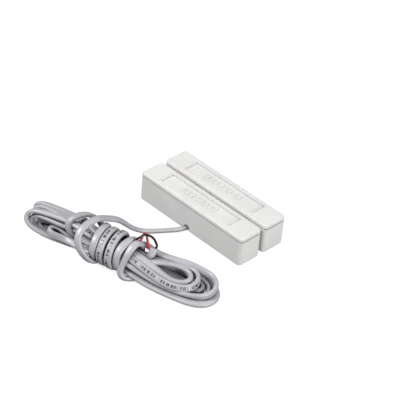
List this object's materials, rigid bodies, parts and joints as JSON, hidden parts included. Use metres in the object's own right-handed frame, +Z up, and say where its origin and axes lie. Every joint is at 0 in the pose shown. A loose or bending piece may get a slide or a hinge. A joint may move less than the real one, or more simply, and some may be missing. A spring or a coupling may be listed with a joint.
{
  "type": "door contact sensor",
  "caption": "Slim surface-mount magnetic door contact: a reed-switch half with a lid and a folded two-core cable, beside a matching magnet half.",
  "frame": {"origin": "bottom centre of the two halves, without the free cable", "axes": "+X along the halves, +Y from the switch half to the magnet half, +Z up from the surface that both are fixed to"},
  "size_m": [0.0951, 0.0831, 0.0203],
  "materials": {
    "housing_plastic": "satin off-white moulded ABS with a fine spark-eroded grain",
    "clamp_plastic": "satin grey nylon",
    "reed_glass": "clear, faintly green",
    "nickel_iron": "drawn nickel-iron",
    "tinned_copper": "dull tin",
    "zinc_steel": "zinc plated",
    "magnet": "ground dark magnet alloy",
    "cable_sheath": "soft-sheen grey PVC",
    "black_insulation": "glossy PVC",
    "red_insulation": "glossy PVC"
  },
  "bodies": {
    "switch_unit": {"switch_base": "housing_plastic", "reed_glass": "reed_glass", "reed_blade_fixed": "nickel_iron", "reed_lead_right": "nickel_iron", "splice_left": "tinned_copper", "splice_right": "tinned_copper", "core_black": "black_insulation", "core_red": "red_insulation", "cable_inner": "cable_sheath", "cable_clamp": "clamp_plastic", "clamp_screw_left": "zinc_steel", "clamp_screw_right": "zinc_steel", "cable_lead": "cable_sheath", "cable_hank": "cable_sheath", "cable_end": "cable_sheath", "wire_black": "black_insulation", "wire_red": "red_insulation"},
    "switch_cover": {"switch_lid": "housing_plastic"},
    "reed_contact": {"reed_blade_moving": "nickel_iron"},
    "magnet_unit": {"magnet_base": "housing_plastic", "bar_magnet": "magnet"},
    "magnet_cover": {"magnet_lid": "housing_plastic"}
  },
  "joints": [
    {"name": "magnet_travel", "type": "slide", "parent": "switch_unit", "child": "magnet_unit", "axis": [0, 1, 0], "range_m": [0, 0.05]},
    {"name": "switch_lid_lift", "type": "slide", "parent": "switch_unit", "child": "switch_cover", "axis": [0, 0, 1], "range_m": [0, 0.02]},
    {"name": "magnet_lid_lift", "type": "slide", "parent": "magnet_unit", "child": "magnet_cover", "axis": [0, 0, 1], "range_m": [0, 0.02]},
    {"name": "reed_open", "type": "hinge", "parent": "switch_unit", "child": "reed_contact", "pos_m": [0.0062, -0.0048, 0.0065], "axis": [0, 1, 0], "range_deg": [0, 1]}
  ],
  "couplings": [
    {"joint": "reed_open", "follows": "magnet_travel", "rad_per_m": 0.34}
  ]
}
